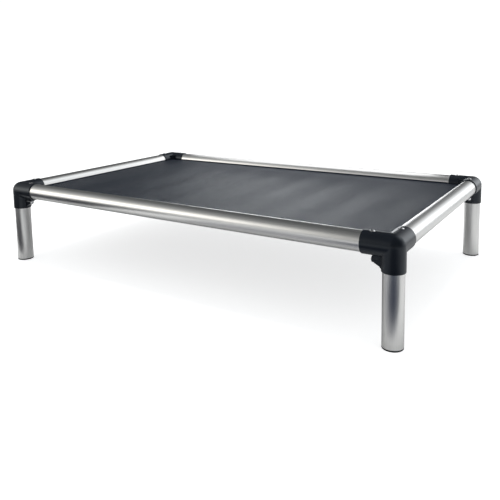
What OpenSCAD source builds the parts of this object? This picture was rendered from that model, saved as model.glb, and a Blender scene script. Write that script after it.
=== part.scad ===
// Raised dog bed: a slotted tube frame on four legs, joined by three-way corner
// fittings, with one fabric sheet held in the rails by rods in its hems.
// Origin: on the floor under the middle of the bed. X runs along the long side.

/* [Bed] */
// Overall length over the corner fittings
bed_length = 1016; // [700:1:1300]
// Overall width over the corner fittings
bed_width = 635; // [450:1:900]
// Height of the rails' centreline above the floor
rail_height = 179; // [120:1:300]

/* [Tube] */
// Outside diameter of the rails and legs
tube_d = 38.1; // [34:0.1:42]
// Wall of the tubes
tube_wall = 2; // [1.6:0.1:2.4]
// Height of the lengthwise slot in each rail
slot_h = 7; // [6:0.5:8]

/* [Corner fitting] */
// Wall of the fitting's sleeves outside the tube
sleeve_wall = 2.05; // [1.9:0.05:2.6]
// Length of each rail sleeve, from the leg's centreline
sleeve_length = 55; // [52:0.5:62]
// Depth of the leg socket, below the rails' centreline
socket_depth = 45; // [44:0.5:52]
// Radius on the lip of each sleeve
lip_radius = 1.4; // [0.8:0.1:1.8]
// Where the tubes stop inside the fitting, from its centre
tube_stop = 22; // [21.8:0.1:22.5]
// Radius of the blend in the crotch between the two rail sleeves
crotch_radius = 9; // [6:0.5:10]

/* [Webs] */
// Thickness of the web under each rail sleeve
web_thickness = 11; // [8:0.5:12]
// Radius of the boss that carries a leg screw
boss_radius = 6.2; // [5.8:0.1:6.4]
// Outer face of the boss, from the leg's centreline
boss_reach = 37.5; // [36:0.5:40]
// Drop of the leg screw below the rails' centreline
boss_drop = 27.8; // [27.6:0.1:28.4]

/* [Screws] */
// Diameter of the pan heads
head_d = 10; // [8:0.1:10]
// Height of the pan heads
head_h = 2.6; // [2:0.1:2.8]
// Diameter of the screw shanks
shank_d = 4.2; // [3.5:0.1:4.8]
// Distance of the rail screws from the leg's centreline
rail_screw_at = 38; // [36:0.5:42]
// Length of the rail screws under the head
rail_screw_length = 12; // [10:0.5:12]
// Length of the leg screws under the head
leg_screw_length = 25; // [22:0.5:25]

/* [Sheet] */
// Thickness of the fabric
fabric_t = 1.2; // [0.8:0.1:1.5]
// Diameter of the rod in each hem
rod_d = 9.5; // [8:0.1:9.5]
// Distance of each hem from its rail's centreline, towards the sheet
hem_inset = 10.6; // [10.2:0.1:10.8]
// Gap between the sheet's edge and the fittings' sleeves
sheet_gap = 0.9; // [0.5:0.1:2]

/* [Foot cap] */
// Height of the cap's rim under the tube
rim_h = 3.2; // [2:0.1:5]
// Length of the plug inside the tube
plug_length = 14; // [8:0.5:20]
// Radius on the cap's bottom edge
rim_radius = 1.2; // [0.5:0.1:1.8]

/* [Hidden] */
$fn = 96;
fit_gap = 0.1;
tube_r = tube_d / 2;
bore_r = tube_r - tube_wall;
sleeve_r = tube_r + sleeve_wall;
half_x = bed_length / 2 - sleeve_r;
half_y = bed_width / 2 - sleeve_r;
hem_wall = 1.2;
hem_r = rod_d / 2 + fit_gap + hem_wall;
seat_r = head_d / 2 + 1.3;
seat_z = tube_r + 0.9;
web_drop = 43;
web_reach = 33;
recess_w = 1.3;
recess_depth = 1.5;
aluminium = [0.80, 0.81, 0.83];
black_plastic = [0.09, 0.10, 0.11];
cloth = [0.36, 0.38, 0.42];
steel = [0.86, 0.86, 0.87];
rod_grey = [0.70, 0.70, 0.72];

// Each corner: name, side along X, side along Y.
CORNERS = [
    ["front_left", -1, -1],
    ["front_right", 1, -1],
    ["back_left", -1, 1],
    ["back_right", 1, 1],
];
// Each rail: name, turn about Z that carries the front rail to it, and half its run.
RAILS = [
    ["front", 0, half_x, half_y],
    ["back", 180, half_x, half_y],
    ["left", -90, half_y, half_x],
    ["right", 90, half_y, half_x],
];
// The two rails that meet at a corner: the long one along X and the short one along Y.
WAYS = ["long", "short"];

// Moves a corner's children to it. In their frame +X and +Y run in along the two rails.
module at_corner(side_x, side_y) {
    translate([side_x * half_x, side_y * half_y, rail_height])
        mirror([side_x > 0 ? 1 : 0, 0, 0])
            mirror([0, side_y > 0 ? 1 : 0, 0])
                children();
}

// Turns children made for the long way so that they lie on the named way.
module along(way) {
    if (way == "long") {
        children();
    } else {
        mirror([1, -1, 0]) children();
    }
}

// Places children made for a rail that runs along X with the sheet on its +Y side.
module at_rail(turn, across) {
    rotate([0, 0, turn]) translate([0, -across, rail_height]) children();
}

// Turns children made along +Z so that they run along +X.
module lay_along_x() {
    rotate([0, 90, 0]) children();
}

module rail(turn, half_run, across) {
    length = 2 * (half_run - tube_stop);
    color(aluminium)
        at_rail(turn, across)
            difference() {
                translate([-length / 2, 0, 0])
                    lay_along_x()
                        difference() {
                            cylinder(r = tube_r, h = length);
                            translate([0, 0, -1]) cylinder(r = bore_r, h = length + 2);
                        }
                translate([-length / 2 - 1, 0, -slot_h / 2]) cube([length + 2, tube_r + 1, slot_h]);
                for (side = [-1, 1]) {
                    translate([side * (half_run - rail_screw_at), 0, 0])
                        cylinder(d = shank_d + fit_gap, h = tube_r + 1);
                }
            }
}

module hem_rod(turn, half_run, across) {
    length = 2 * (half_run - sleeve_length - 2);
    color(rod_grey)
        at_rail(turn, across)
            translate([-length / 2, hem_inset, 0])
                lay_along_x() cylinder(d = rod_d, h = length);
}

// One edge of the sheet: the flap that enters the slot and the hem round the rod.
module hemmed_edge(half_run) {
    length = 2 * (half_run - sleeve_length - 2);
    flap_end = sleeve_r + sheet_gap + 1;
    translate([-length / 2, 0, 0])
        difference() {
            union() {
                translate([0, hem_inset, 0]) lay_along_x() cylinder(r = hem_r, h = length);
                translate([0, hem_inset, -fabric_t / 2]) cube([length, flap_end - hem_inset, fabric_t]);
            }
            translate([-1, hem_inset, 0])
                lay_along_x() cylinder(r = hem_r - hem_wall, h = length + 2);
        }
}

module fabric_panel() {
    reach_x = half_x - sleeve_r - sheet_gap;
    reach_y = half_y - sleeve_r - sheet_gap;
    color(cloth) {
        difference() {
            translate([-reach_x, -reach_y, rail_height - fabric_t / 2])
                cube([2 * reach_x, 2 * reach_y, fabric_t]);
            for (c = CORNERS) {
                at_corner(c[1], c[2]) crotch_blend(crotch_radius - sheet_gap, fabric_t + 2);
            }
        }
        for (r = RAILS) {
            at_rail(r[1], r[3]) hemmed_edge(r[2]);
        }
    }
}

// Fills the crotch between two rail sleeves up to a hollow round face of the given radius.
module crotch_blend(radius, height) {
    reach = sleeve_r + crotch_radius;
    translate([0, 0, -height / 2])
        difference() {
            cube([reach, reach, height]);
            translate([reach, reach, -1]) cylinder(r = radius, h = height + 2);
        }
}

// A sleeve along +Z with a rounded lip.
module sleeve(length) {
    rotate_extrude()
        union() {
            square([sleeve_r - lip_radius, length]);
            square([sleeve_r, length - lip_radius]);
            translate([sleeve_r - lip_radius, length - lip_radius])
                intersection() {
                    circle(r = lip_radius, $fn = 32);
                    square(lip_radius);
                }
        }
}

// The web under one rail sleeve, with the boss that carries a leg screw.
module web_and_boss() {
    rotate([90, 0, 0])
        linear_extrude(height = web_thickness, center = true)
            polygon([
                [0, -sleeve_r / 2],
                [boss_reach - 1.5, -sleeve_r / 2],
                [boss_reach - 1.5, -boss_drop],
                [web_reach, -boss_drop - boss_radius + 0.6],
                [sleeve_r + 2.6, -web_drop + 4.6],
                [sleeve_r - 1, -web_drop],
                [0, -web_drop]
            ]);
    translate([0, 0, -boss_drop]) lay_along_x() cylinder(r = boss_radius, h = boss_reach);
}

module corner_fitting(side_x, side_y) {
    color(black_plastic)
        at_corner(side_x, side_y)
            difference() {
                union() {
                    sphere(r = sleeve_r);
                    rotate([180, 0, 0]) sleeve(socket_depth);
                    for (way = WAYS) {
                        along(way) {
                            lay_along_x() sleeve(sleeve_length);
                            web_and_boss();
                        }
                    }
                    crotch_blend(crotch_radius, 2 * sleeve_r - 14);
                }
                translate([0, 0, -socket_depth - 1])
                    cylinder(r = tube_r + fit_gap, h = socket_depth + 1 - tube_stop);
                for (way = WAYS) {
                    along(way) {
                        translate([tube_stop, 0, 0])
                            lay_along_x() cylinder(r = tube_r + fit_gap, h = sleeve_length);
                        translate([rail_screw_at, 0, 0])
                            cylinder(d = shank_d + fit_gap, h = sleeve_r + 1);
                        translate([rail_screw_at, 0, seat_z]) cylinder(r = seat_r, h = sleeve_r);
                        translate([sleeve_r / 2, 0, -boss_drop])
                            lay_along_x() cylinder(d = shank_d + fit_gap, h = boss_reach);
                    }
                }
            }
}

module leg(side_x, side_y) {
    top = rail_height - tube_stop;
    color(aluminium)
        at_corner(side_x, side_y)
            translate([0, 0, rim_h - rail_height])
                difference() {
                    cylinder(r = tube_r, h = top - rim_h);
                    translate([0, 0, -1]) cylinder(r = bore_r, h = top);
                    for (way = WAYS) {
                        along(way)
                            translate([0, 0, rail_height - rim_h - boss_drop])
                                lay_along_x() cylinder(d = shank_d + fit_gap, h = tube_r + 1);
                    }
                }
}

module foot_cap(side_x, side_y) {
    plug_r = bore_r - fit_gap;
    color(black_plastic)
        at_corner(side_x, side_y)
            translate([0, 0, -rail_height])
                difference() {
                    rotate_extrude()
                        union() {
                            square([tube_r - rim_radius, rim_h]);
                            translate([0, rim_radius]) square([tube_r, rim_h - rim_radius]);
                            translate([tube_r - rim_radius, rim_radius]) circle(r = rim_radius, $fn = 32);
                            square([plug_r, rim_h + plug_length]);
                        }
                    translate([0, 0, rim_h + 1]) cylinder(r = plug_r - 2.5, h = plug_length);
                }
}

// A pan-head screw: shank along -Z, head standing on z = 0, with a cross recess.
module pan_screw(length) {
    dome_r = (pow(head_d / 2, 2) + pow(head_h, 2)) / (2 * head_h) + 1.5;
    color(steel) {
        difference() {
            intersection() {
                cylinder(d = head_d, h = head_h);
                translate([0, 0, head_h - dome_r]) sphere(r = dome_r);
            }
            for (turn = [0, 90]) {
                rotate([0, 0, turn])
                    translate([-head_d / 4, -recess_w / 2, head_h - recess_depth])
                        cube([head_d / 2, recess_w, recess_depth + 1]);
            }
        }
        translate([0, 0, -length]) cylinder(d = shank_d, h = length + 0.1);
    }
}

module rail_screw(side_x, side_y, way) {
    at_corner(side_x, side_y)
        along(way)
            translate([rail_screw_at, 0, seat_z]) pan_screw(rail_screw_length);
}

module leg_screw(side_x, side_y, way) {
    at_corner(side_x, side_y)
        along(way)
            translate([boss_reach, 0, -boss_drop]) lay_along_x() pan_screw(leg_screw_length);
}

fabric_panel();
for (r = RAILS) {
    rail(r[1], r[2], r[3]);
    hem_rod(r[1], r[2], r[3]);
}
for (c = CORNERS) {
    corner_fitting(c[1], c[2]);
    leg(c[1], c[2]);
    foot_cap(c[1], c[2]);
    for (w = WAYS) {
        rail_screw(c[1], c[2], w);
        leg_screw(c[1], c[2], w);
    }
}
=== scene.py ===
import math
import bmesh
import bpy
from mathutils import Matrix, Vector, noise


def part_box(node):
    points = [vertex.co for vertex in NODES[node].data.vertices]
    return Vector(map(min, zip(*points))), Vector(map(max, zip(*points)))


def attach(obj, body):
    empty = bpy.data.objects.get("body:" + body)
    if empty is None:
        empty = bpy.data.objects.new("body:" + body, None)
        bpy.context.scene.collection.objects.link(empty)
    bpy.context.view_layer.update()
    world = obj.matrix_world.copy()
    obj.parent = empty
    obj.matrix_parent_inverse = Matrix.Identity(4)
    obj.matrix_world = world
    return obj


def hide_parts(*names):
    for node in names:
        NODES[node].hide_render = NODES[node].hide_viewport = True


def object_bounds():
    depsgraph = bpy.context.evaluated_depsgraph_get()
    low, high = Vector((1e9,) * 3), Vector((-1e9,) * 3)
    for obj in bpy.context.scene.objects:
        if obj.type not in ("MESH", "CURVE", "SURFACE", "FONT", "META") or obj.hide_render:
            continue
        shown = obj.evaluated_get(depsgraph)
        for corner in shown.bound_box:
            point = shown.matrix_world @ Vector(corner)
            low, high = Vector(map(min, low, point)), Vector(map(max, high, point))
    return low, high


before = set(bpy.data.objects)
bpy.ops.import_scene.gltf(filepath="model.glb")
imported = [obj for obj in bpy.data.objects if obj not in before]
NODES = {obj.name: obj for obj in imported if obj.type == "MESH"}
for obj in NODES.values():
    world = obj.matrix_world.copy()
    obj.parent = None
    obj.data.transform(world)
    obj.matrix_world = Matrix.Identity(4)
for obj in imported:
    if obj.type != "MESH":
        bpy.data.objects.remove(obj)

cad_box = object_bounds()

# ---------------------------------------------------------------- sizes taken from the frame
rail_low, rail_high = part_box("rail_front")
leg_low, leg_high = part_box("leg_back_right")
corner_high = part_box("corner_back_right")[1]
long_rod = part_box("hem_rod_back")
short_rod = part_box("hem_rod_right")
half_x = (leg_low.x + leg_high.x) / 2
half_y = (leg_low.y + leg_high.y) / 2
rail_z = (rail_low.z + rail_high.z) / 2
sleeve_r = corner_high.x - half_x
rod_r = (long_rod[1].z - long_rod[0].z) / 2
hem_inset = half_y - (long_rod[0].y + long_rod[1].y) / 2
flap_x = long_rod[1].x
flap_y = short_rod[1].y

# ---------------------------------------------------------------- the cloth, in metres
fabric_t = 0.0010  # thickness
yarn = 0.0013  # width of one yarn
sheet_gap = 0.0003  # from the sleeves of the fittings to the corner cuts
rod_gap = 0.0002  # from a rod to the hem round it
cut_back = 0.0001  # how far short of its full length a hem stops
hem_lead = 0.0090  # from a rod's middle back to where the hem's two layers meet
corner_round = 0.0081  # size of the hollow curve in each corner cut
sag = 0.0035  # in the middle of the bed
ripple = 0.0020  # height of the soft folds
ripple_pitch = 0.105  # from one soft fold to the next

# How far apart the cloth's grid lines are: in the open, in a rounded corner, at a rail, and in a hem.
open_step = 0.006
corner_step = 0.0016
rail_step = 0.002
hem_step = 0.0022


# ---------------------------------------------------------------- shader building
class Value:
    """A socket in a shader, which takes part in ordinary arithmetic."""

    def __init__(self, shader, socket):
        self.shader = shader
        self.socket = socket

    def math(self, operation, *others):
        node = self.shader.tree.nodes.new("ShaderNodeMath")
        node.operation = operation
        for index, item in enumerate((self, *others)):
            self.shader.feed(node.inputs[index], item)
        return Value(self.shader, node.outputs[0])

    def __add__(self, other):
        return self.math("ADD", other)

    def __radd__(self, other):
        return self.math("ADD", other)

    def __mul__(self, other):
        return self.math("MULTIPLY", other)

    def __sub__(self, other):
        return self.math("SUBTRACT", other)

    def __rsub__(self, other):
        return (self * -1) + other

    def __pow__(self, other):
        return self.math("POWER", other)

    def __gt__(self, other):
        return self.math("GREATER_THAN", other)

    def sine(self):
        return self.math("SINE")

    def size(self):
        return self.math("ABSOLUTE")


class Shader:
    """A material or world shader under construction."""

    def __init__(self, owner):
        owner.use_nodes = True
        self.owner = owner
        self.tree = owner.node_tree
        self.tree.nodes.clear()

    def feed(self, socket, item):
        if isinstance(item, Value):
            self.tree.links.new(item.socket, socket)
        else:
            socket.default_value = item

    def add(self, kind, settings=None, output=0, **inputs):
        """Adds a node: its settings first, then its inputs by name, with _ for a space, or by number."""
        node = self.tree.nodes.new("ShaderNode" + kind)
        for key, setting in (settings or {}).items():
            setattr(node, key, setting)
        for key, item in inputs.items():
            name = key.replace("_", " ")
            socket = node.inputs[int(name[5:])] if name.startswith("input") else node.inputs[name]
            self.feed(socket, item)
        return Value(self, node.outputs[output])

    def mix(self, factor, first, second):
        """Mixes two colours."""
        node = self.tree.nodes.new("ShaderNodeMix")
        node.data_type = "RGBA"
        for index, item in ((0, factor), (6, first), (7, second)):
            self.feed(node.inputs[index], item)
        return Value(self, node.outputs[2])

    def stretch(self, vector, scale):
        return self.add("VectorMath", {"operation": "MULTIPLY"}, input0=vector, input1=scale)

    def split(self, vector):
        node = self.tree.nodes.new("ShaderNodeSeparateXYZ")
        self.feed(node.inputs[0], vector)
        return [Value(self, output) for output in node.outputs]

    def finish(self, surface):
        kind = "World" if isinstance(self.owner, bpy.types.World) else "Material"
        node = self.tree.nodes.new("ShaderNodeOutput" + kind)
        self.tree.links.new(surface.socket, node.inputs["Surface"])
        return self.owner


def rgb(red, green, blue):
    return (red, green, blue, 1.0)


# ---------------------------------------------------------------- materials
def satin_aluminium(name, grain):
    """Drawn tube with a satin anodised skin and fine lines along it. grain stretches the pattern."""
    s = Shader(bpy.data.materials.new(name))
    place = s.add("TexCoord", output="Object")
    lines = s.add("TexNoise", Vector=s.stretch(place, grain), Scale=1.0, Detail=4.0, Roughness=0.6)
    cloud = s.add("TexNoise", Vector=place, Scale=9.0, Detail=3.0)
    skin = s.mix(lines, rgb(0.65, 0.644, 0.630), rgb(0.89, 0.884, 0.868))
    rough = 0.22 + lines * 0.15 + cloud * 0.05
    bump = s.add("Bump", Strength=0.25, Distance=0.00005, Height=lines)
    surface = s.add("BsdfPrincipled", Base_Color=skin, Metallic=1.0, Roughness=rough, Normal=bump)
    return s.finish(surface)


def moulded_plastic(name, colour, dullness, shine):
    """Black moulded plastic with a fine spark-eroded grain."""
    s = Shader(bpy.data.materials.new(name))
    place = s.add("TexCoord", output="Object")
    grain = s.add("TexNoise", Vector=place, Scale=1500.0, Detail=2.0)
    cloud = s.add("TexNoise", Vector=place, Scale=40.0, Detail=3.0)
    lighter = rgb(*(part * 1.5 for part in colour[:3]))
    skin = s.mix(cloud, colour, lighter)
    rough = dullness + grain * 0.08 + cloud * 0.06
    bump = s.add("Bump", Strength=0.25, Distance=0.00005, Height=grain)
    surface = s.add(
        "BsdfPrincipled",
        Base_Color=skin,
        Roughness=rough,
        Specular_IOR_Level=shine,
        Specular_Tint=rgb(0.86, 0.93, 1.0),
        Normal=bump,
    )
    return s.finish(surface)


def bright_steel(name):
    """Polished steel of the screws and the hem rods, with faint marks."""
    s = Shader(bpy.data.materials.new(name))
    place = s.add("TexCoord", output="Object")
    marks = s.add("TexNoise", Vector=place, Scale=900.0, Detail=3.0)
    skin = s.mix(marks, rgb(0.85, 0.85, 0.86), rgb(0.96, 0.96, 0.96))
    surface = s.add("BsdfPrincipled", Base_Color=skin, Metallic=1.0, Roughness=0.16 + marks * 0.1)
    return s.finish(surface)


def woven_cloth(name):
    """Tight plain weave of thick synthetic yarn, dark slate, with slightly uneven yarns one way, painted
    sheen bands across the other, and painted shade in the hollows between yarns.
    """
    s = Shader(bpy.data.materials.new(name))
    flat = s.add("UVMap", {"uv_map": "flat"})
    across, along, _ = s.split(s.stretch(flat, (math.pi / yarn, math.pi / yarn, 1.0)))
    warp = across.sine()
    weft = along.sine()
    over = (warp * weft) > 0.0
    warp = warp.size()
    weft = weft.size()
    height = over * (warp * weft ** 0.5) + (1 - over) * (weft * warp ** 0.5)
    place = s.add("TexCoord", output="Object")
    slub = s.add("TexNoise", Vector=s.stretch(flat, (30.0, 700.0, 1.0)), Scale=1.0, Detail=3.0)
    # Painted sheen: soft bands across the bed, lighter and darker in the colour as the sheen of the folds
    # would be. They also vary the roughness.
    painted_sheen_bands = s.add("TexNoise", Vector=s.stretch(flat, (420.0, 14.0, 1.0)), Scale=1.0, Detail=3.0)
    cloud = s.add("TexNoise", Vector=place, Scale=7.0, Detail=4.0)
    # The colour is the yarns' own uneven tone, plus painted shade (darker where the weave height is low,
    # between the yarns) and the painted sheen bands.
    yarn_tone_and_painted_light = height * 0.45 + slub * 0.55 + painted_sheen_bands * 0.45 + cloud * 0.15 - 0.35
    skin = s.mix(yarn_tone_and_painted_light, rgb(0.0010, 0.0018, 0.0045), rgb(0.0230, 0.0290, 0.0440))
    bump = s.add("Bump", Strength=1.0, Distance=0.00022, Height=height + slub * 0.35)
    surface = s.add(
        "BsdfPrincipled",
        Base_Color=skin,
        Roughness=0.40 + slub * 0.14 + painted_sheen_bands * 0.10 - height * 0.18,
        Specular_IOR_Level=0.42,
        Specular_Tint=rgb(0.78, 0.88, 1.0),
        Sheen_Weight=0.04,
        Sheen_Roughness=0.4,
        Sheen_Tint=rgb(0.75, 0.87, 1.0),
        Normal=bump,
    )
    return s.finish(surface)


# The pattern changes slowly along the tube and quickly across it.
slow = 5.0
quick = 900.0
along_x = satin_aluminium("satin_tube_x", (slow, quick, quick))
along_y = satin_aluminium("satin_tube_y", (quick, slow, quick))
along_z = satin_aluminium("satin_tube_z", (quick, quick, slow))
fitting_black = moulded_plastic("fitting_black", rgb(0.0036, 0.0052, 0.0088), 0.24, 0.5)
cap_black = moulded_plastic("cap_black", rgb(0.0040, 0.0042, 0.0048), 0.55, 0.2)
screw_steel = bright_steel("screw_steel")
slate_cloth = woven_cloth("slate_cloth")

# The first beginning that fits a node's name gives its finish.
FINISHES = (
    ("rail_screw", screw_steel),
    ("leg_screw", screw_steel),
    ("hem_rod", screw_steel),
    ("rail_front", along_x),
    ("rail_back", along_x),
    ("rail_left", along_y),
    ("rail_right", along_y),
    ("leg_", along_z),
    ("foot_cap", cap_black),
    ("corner", fitting_black),
)


def dress(name, node):
    for beginning, finish in FINISHES:
        if name.startswith(beginning):
            for index in range(len(node.data.materials)):
                node.data.materials[index] = finish
            return


for name, node in NODES.items():
    dress(name, node)


def new_object(name, bm, material):
    mesh = bpy.data.meshes.new(name)
    bm.to_mesh(mesh)
    bm.free()
    mesh.materials.append(material)
    piece = bpy.data.objects.new(name, mesh)
    bpy.context.scene.collection.objects.link(piece)
    return piece


# ---------------------------------------------------------------- the fabric sheet
def hem_path(half):
    """One hem round its rod: what turns flat distance into place and height, then the hem's two ends."""
    radius = rod_r + fabric_t / 2 + rod_gap
    centre = half - hem_inset
    start = centre - hem_lead
    straight = math.sqrt(hem_lead ** 2 - radius ** 2)
    lean = math.asin(radius / hem_lead)
    arc = math.pi + 2 * lean
    length = 2 * straight + radius * arc

    def fold(flat):
        if flat <= start:
            return flat, 0.0
        run = flat - start
        if run < straight:
            return start + run * math.cos(lean), run * math.sin(lean)
        run -= straight
        if run < radius * arc:
            angle = math.pi / 2 + lean - run / radius
            return centre + radius * math.cos(angle), radius * math.sin(angle)
        run = straight - (run - radius * arc)
        return start + run * math.cos(lean), -run * math.sin(lean)

    return fold, start, start + length


def spread(first, last, step):
    """Evenly spaced places from first, up to but not including last."""
    count = max(1, round((last - first) / step))
    return [first + (last - first) * index / count for index in range(count)]


def grid_lines(half, flap):
    """Places of the cloth's grid lines across one half, then mirrored to the other."""
    fold, start, edge = hem_path(half)
    main = half - sleeve_r - sheet_gap
    bend = main - corner_round
    stops = [(0.0, flap, open_step), (flap, bend, open_step), (bend, main, corner_step)]
    stops += [(main, start, rail_step), (start, edge - cut_back, hem_step)]
    lines = [place for stop in stops for place in spread(*stop)] + [edge - cut_back]
    return [-place for place in reversed(lines[1:])] + lines, fold, main, edge


def tension(x, y, main_x, main_y):
    """Height of the stretched cloth: a shallow sag with soft folds that run across the bed."""
    u = max(-1.0, min(1.0, x / main_x))
    v = max(-1.0, min(1.0, y / main_y))
    dish = (1 - u ** 4) * (1 - v ** 2)
    drift = noise.noise(Vector((x * 2.0, y * 1.5, 0.3)))
    fold = math.sin(2 * math.pi * (x / ripple_pitch + 0.35 * drift + 0.12 * y / main_y))
    strength = 0.6 + 0.8 * noise.noise(Vector((x * 4.0, y * 0.8, 2.7)))
    return -sag * dish + ripple * strength * fold * (1 - u ** 8) * (1 - v ** 6)


def fabric_sheet():
    lines_x, fold_x, main_x, edge_x = grid_lines(half_x, flap_x)
    lines_y, fold_y, main_y, edge_y = grid_lines(half_y, flap_y)
    bm = bmesh.new()
    bmesh.ops.create_grid(bm, x_segments=len(lines_x) - 1, y_segments=len(lines_y) - 1, size=1.0)
    for vert in bm.verts:
        vert.co.x = lines_x[round((vert.co.x + 1) / 2 * (len(lines_x) - 1))]
        vert.co.y = lines_y[round((vert.co.y + 1) / 2 * (len(lines_y) - 1))]

    # The corners are cut away, clear of the fittings.
    spare = []
    for face in bm.faces:
        middle = face.calc_center_median()
        x, y = abs(middle.x), abs(middle.y)
        if (x > main_x and y > flap_y) or (y > main_y and x > flap_x):
            spare.append(face)
    bmesh.ops.delete(bm, geom=spare, context="FACES")

    # The weave follows the cloth as it was cut, flat.
    layer = bm.loops.layers.uv.new("flat")
    for face in bm.faces:
        for loop in face.loops:
            loop[layer].uv = (loop.vert.co.x, loop.vert.co.y)
    flat_area = sum(face.calc_area() for face in bm.faces)

    # Each point goes to its place: rounded at the corners, folded round the rods, and sagging.
    bend_x = main_x - corner_round
    bend_y = main_y - corner_round
    for vert in bm.verts:
        x, y = vert.co.x, vert.co.y
        over_x = abs(x) - bend_x
        over_y = abs(y) - bend_y
        if over_x > 0 and over_y > 0 and abs(x) <= main_x + 1e-6 and abs(y) <= main_y + 1e-6:
            pull = max(over_x, over_y) / math.hypot(over_x, over_y)
            x = math.copysign(bend_x + over_x * pull, x)
            y = math.copysign(bend_y + over_y * pull, y)
        place_x, lift_x = fold_x(abs(x))
        place_y, lift_y = fold_y(abs(y))
        lift = lift_x + lift_y + tension(x, y, main_x, main_y)
        vert.co = Vector((math.copysign(place_x, x), math.copysign(place_y, y), rail_z + lift))
    for face in bm.faces:
        face.smooth = True

    sheet = new_object("fabric_sheet", bm, slate_cloth)
    solid = sheet.modifiers.new("thickness", "SOLIDIFY")
    solid.thickness = fabric_t
    solid.offset = 0.0
    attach(sheet, "root")
    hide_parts("fabric_panel")
    2 * edge_x
    2 * edge_y


fabric_sheet()


# ---------------------------------------------------------------- studio
def plane(name, middle, size, material, turn=0.0, tip=0.0):
    """A flat rectangle that isn't part of the bed, tipped about X and then turned about Z."""
    bm = bmesh.new()
    bmesh.ops.create_grid(bm, x_segments=1, y_segments=1, size=0.5)
    bmesh.ops.scale(bm, vec=(*size, 1.0), verts=bm.verts)
    aim = Matrix.Rotation(turn, 3, "Z") @ Matrix.Rotation(tip, 3, "X")
    bmesh.ops.rotate(bm, matrix=aim, verts=bm.verts)
    bmesh.ops.translate(bm, vec=middle, verts=bm.verts)
    sheet = new_object(name, bm, material)
    return sheet


def card(name, middle, size, material, turn=0.0, tip=0.0):
    """A plane that only reflections see."""
    sheet = plane(name, middle, size, material, turn, tip)
    sheet.visible_camera = False
    sheet.visible_diffuse = False
    sheet.visible_shadow = False


def studio_floor():
    """White paper. It is lifted towards white for the lens, as a lit sweep is, and slightly for gloss."""
    s = Shader(bpy.data.materials.new("floor_white"))
    seen = s.add("LightPath", output="Is Camera Ray")
    gloss = s.add("LightPath", output="Is Glossy Ray")
    paper = s.add("BsdfDiffuse", Color=rgb(0.82, 0.82, 0.82))
    lift = s.add("Emission", Color=rgb(1.0, 1.0, 1.0), Strength=seen * 0.70 + gloss * 0.07)
    surface = s.add("AddShader", input0=paper, input1=lift)
    plane("studio_floor", (0.0, 0.0, cad_box[0].z - 0.0002), (60.0, 60.0), s.finish(surface))


def dark_card(name, middle, size, tone, turn=0.0):
    """Lies on the floor, and darkens what the tubes reflect of it."""
    s = Shader(bpy.data.materials.new(name))
    card(name, middle, size, s.finish(s.add("BsdfDiffuse", Color=tone)), turn=turn)


def lit_card(name, middle, size, glow):
    """Hangs level, above and behind the back rail, and lights the rail's top edge."""
    s = Shader(bpy.data.materials.new(name))
    card(name, middle, size, s.finish(s.add("Emission", Color=card_white, Strength=glow)))


def one_sided_card(name, middle, size, tip, glow):
    """Is lit on its back face and clear on its front. The back rail reflects the lit face."""
    s = Shader(bpy.data.materials.new(name))
    behind = s.add("NewGeometry", output="Backfacing")
    lit = s.add("Emission", Color=card_white, Strength=glow)
    clear = s.add("BsdfTransparent")
    surface = s.add("MixShader", input0=behind, input1=clear, input2=lit)
    card(name, middle, size, s.finish(surface), tip=tip)


def overhead_lamp():
    """A soft lamp that lights the bed and the paper, and doesn't show in gloss."""
    light = bpy.data.lights.new("overhead", "AREA")
    light.shape = "RECTANGLE"
    light.size = 1.4
    light.size_y = 1.0
    light.energy = 20
    lamp = bpy.data.objects.new("overhead", light)
    bpy.context.scene.collection.objects.link(lamp)
    lamp.location = (0.0, 0.1, 1.9)
    target = Vector((0.0, 0.0, 0.1))
    lamp.rotation_euler = (target - lamp.location).to_track_quat("-Z", "Y").to_euler()
    lamp.visible_glossy = False


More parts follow.
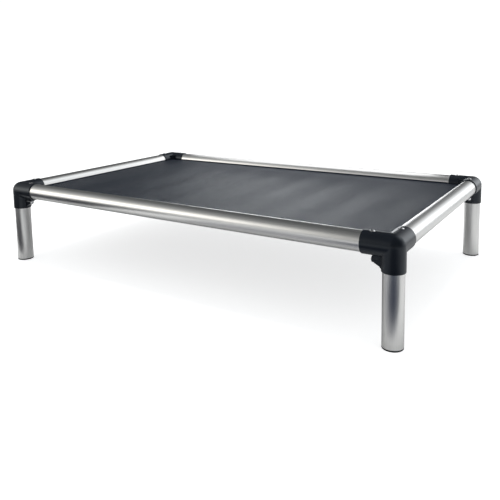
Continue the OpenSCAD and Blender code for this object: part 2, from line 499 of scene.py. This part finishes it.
def studio_world():
    """White to the lens and an even dome to the paper. Gloss sees a dim room with soft lights in it."""
    s = Shader(bpy.data.worlds.new("studio"))
    bpy.context.scene.world = s.owner
    seen = s.add("LightPath", output="Is Camera Ray")
    gloss = s.add("LightPath", output="Is Glossy Ray")
    x, y, z = s.split(s.add("TexCoord", output="Generated"))

    def lobe(toward, tightness):
        """A round soft light."""
        a, b, c = Vector(toward).normalized()
        return (x * a + y * b + z * c).math("MAXIMUM", 0.0) ** tightness

    def ease(value, dark, light):
        """A soft step from dark to light."""
        smooth = {"interpolation_type": "SMOOTHSTEP"}
        return s.add("MapRange", smooth, Value=value, From_Min=dark, From_Max=light)

    # The bank lights the front rail, the glare draws the cloth's sheen, high lights the left rail,
    # and the wall lights the right rail.
    bank = lobe((-0.72, -0.65, 0.25), 26) * 2.8 + lobe((-0.80, -0.30, 0.50), 10) * 0.42
    streak = ease(x * -0.485 + y * 0.8745, 0.966, 1.0)
    glare = streak * ease(z, -0.02, 0.10) * ease(z, 0.30, 0.10) * 7.0
    high = lobe((0.42, 0.65, 0.63), 14) * 1.5
    wall = ease(x, -0.1, 0.3) * ease(y, 0.0, 0.5) * ease(z, 0.5, 0.2) * 0.85
    wall = wall + lobe((0.32, 0.93, 0.05), 20) * 1.1
    room = 0.095
    glow = room + bank + glare + high + wall
    level = seen * 1.1 + gloss * glow + (1 - seen) * (1 - gloss) * 0.62
    tint = s.mix(bank.math("MINIMUM", 1.0), rgb(0.95, 0.98, 1.0), rgb(1.0, 0.985, 0.94))
    s.finish(s.add("Background", Color=tint, Strength=level))


def camera():
    """Stands in front of the right corner, a little above the bed, with a lowered picture plane."""
    lens = bpy.data.cameras.new("camera")
    lens.sensor_width = 36.0
    lens.lens = 42.67
    lens.shift_y = -0.2204
    lens.clip_start = 0.05
    lens.clip_end = 200.0
    view = bpy.data.objects.new("camera", lens)
    bpy.context.scene.collection.objects.link(view)
    stand = Matrix.Translation((0.8032, -1.2348, 0.4769))
    heading = Matrix.Rotation(0.5677, 4, "Z")
    pitch = Matrix.Rotation(math.pi / 2 - 0.12, 4, "X")
    roll = Matrix.Rotation(-0.0155, 4, "Z")
    view.matrix_world = stand @ heading @ pitch @ roll
    bpy.context.scene.camera = view


card_white = rgb(0.97, 0.98, 1.0)
upright = math.pi / 2
leaning = 0.927
skew = 0.32
studio_floor()
dark_card("flag_front", (0.667, -0.827, 0.0004), (0.6, 0.87), rgb(0.01, 0.02, 0.05), skew)
dark_card("flag_near", (0.45, -0.60, 0.0002), (1.1, 0.46), rgb(0.42, 0.42, 0.44))
dark_card("flag_left", (-0.95, -0.83, 0.0004), (1.14, 0.90), rgb(0.03, 0.03, 0.04))
dark_card("flag_back", (-0.667, 0.827, 0.0004), (0.6, 0.87), rgb(0.05, 0.05, 0.06), skew)
one_sided_card("card_ahead", (0.10, -0.1, 0.285), (0.52, 0.14), upright, 0.7)
one_sided_card("card_above", (-0.12, 0.406, 0.70), (0.8, 0.6), leaning, 1.6)
lit_card("card_behind", (-0.06, 0.395, 0.30), (0.84, 0.13), 1.5)
studio_world()
overhead_lamp()
camera()
bpy.context.scene.view_settings.view_transform = "Standard"
